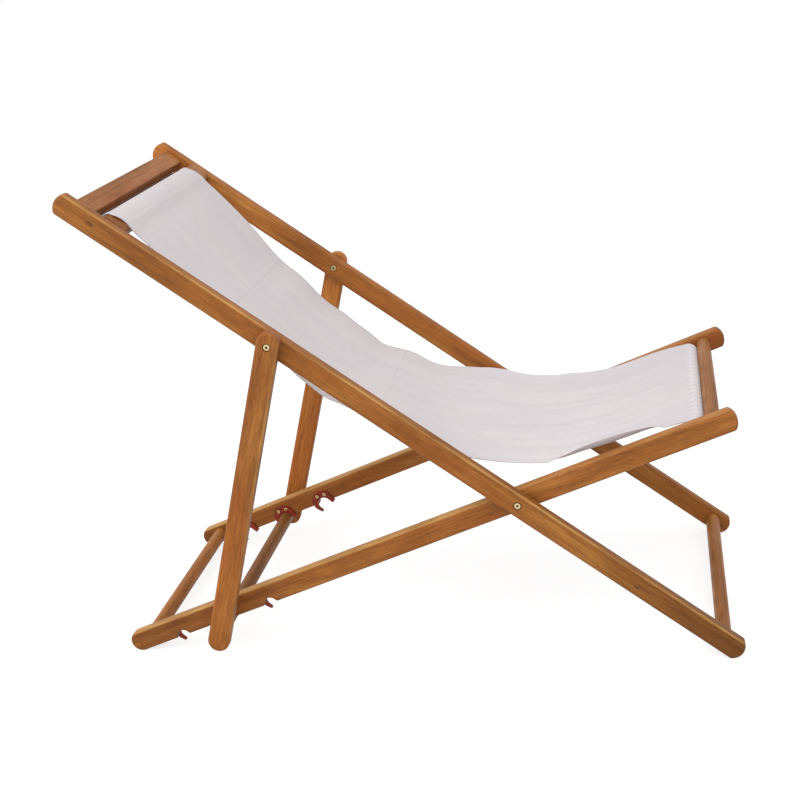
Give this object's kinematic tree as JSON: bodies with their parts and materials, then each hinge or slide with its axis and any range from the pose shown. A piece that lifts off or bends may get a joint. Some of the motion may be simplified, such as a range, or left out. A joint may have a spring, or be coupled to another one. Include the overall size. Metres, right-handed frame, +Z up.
{
  "type": "folding beach chair",
  "caption": "Folding wooden beach chair with crossed rail frames, a notched strut prop that sets the recline and a canvas sling seat.",
  "frame": {"origin": "on the floor, under the middle of the chair set up in its middle notch", "axes": "+X to the front of the seat, +Y to the sitter's left, +Z up"},
  "size_m": [1.0866, 0.556, 0.8443],
  "materials": {
    "oiled_hardwood": "oiled golden-brown hardwood, satin",
    "canvas": "plain pale grey canvas",
    "hook_plastic": "moulded red-brown plastic",
    "screw_brass": "brass-plated wood screw",
    "pivot_nickel": "nickel-plated socket-head connector bolt"
  },
  "bodies": {
    "back_frame": {"back_rail_left": "oiled_hardwood", "back_rail_right": "oiled_hardwood", "head_slat": "oiled_hardwood", "back_sling_bar": "oiled_hardwood", "foot_dowel": "oiled_hardwood", "sling_rod_head": "oiled_hardwood", "sling": "canvas", "main_pivot_bolt_left": "pivot_nickel", "main_pivot_bolt_right": "pivot_nickel", "main_pivot_sleeve_nut_left": "pivot_nickel", "main_pivot_sleeve_nut_right": "pivot_nickel", "main_pivot_washer_left": "pivot_nickel", "main_pivot_washer_right": "pivot_nickel", "strut_pivot_bolt_left": "pivot_nickel", "strut_pivot_bolt_right": "pivot_nickel", "strut_pivot_sleeve_nut_left": "pivot_nickel", "strut_pivot_sleeve_nut_right": "pivot_nickel", "strut_pivot_washer_left": "pivot_nickel", "strut_pivot_washer_right": "pivot_nickel"},
    "seat_frame": {"front_dowel": "oiled_hardwood", "hook_screws_left": "screw_brass", "hook_screws_right": "screw_brass", "notch_hook_front_left": "hook_plastic", "notch_hook_front_right": "hook_plastic", "notch_hook_middle_left": "hook_plastic", "notch_hook_middle_right": "hook_plastic", "notch_hook_rear_left": "hook_plastic", "notch_hook_rear_right": "hook_plastic", "rear_dowel": "oiled_hardwood", "seat_rail_left": "oiled_hardwood", "seat_rail_right": "oiled_hardwood", "seat_sling_bar": "oiled_hardwood", "sling_rod_front": "oiled_hardwood"},
    "strut_frame": {"strut_left": "oiled_hardwood", "strut_right": "oiled_hardwood", "prop_dowel": "oiled_hardwood"}
  },
  "joints": [
    {"name": "frame_fold", "type": "hinge", "parent": "back_frame", "child": "seat_frame", "pos_m": [0.18102, 0, 0.28446], "axis": [0, 1, 0], "range_deg": [0, 58], "deforming": ["sling"]},
    {"name": "strut_fold", "type": "hinge", "parent": "back_frame", "child": "strut_frame", "pos_m": [-0.20307, 0, 0.58061], "axis": [0, 1, 0], "range_deg": [-65, 0]}
  ],
  "couplings": [
    {"joint": "strut_fold", "follows": "frame_fold", "ratio": -1.12}
  ]
}
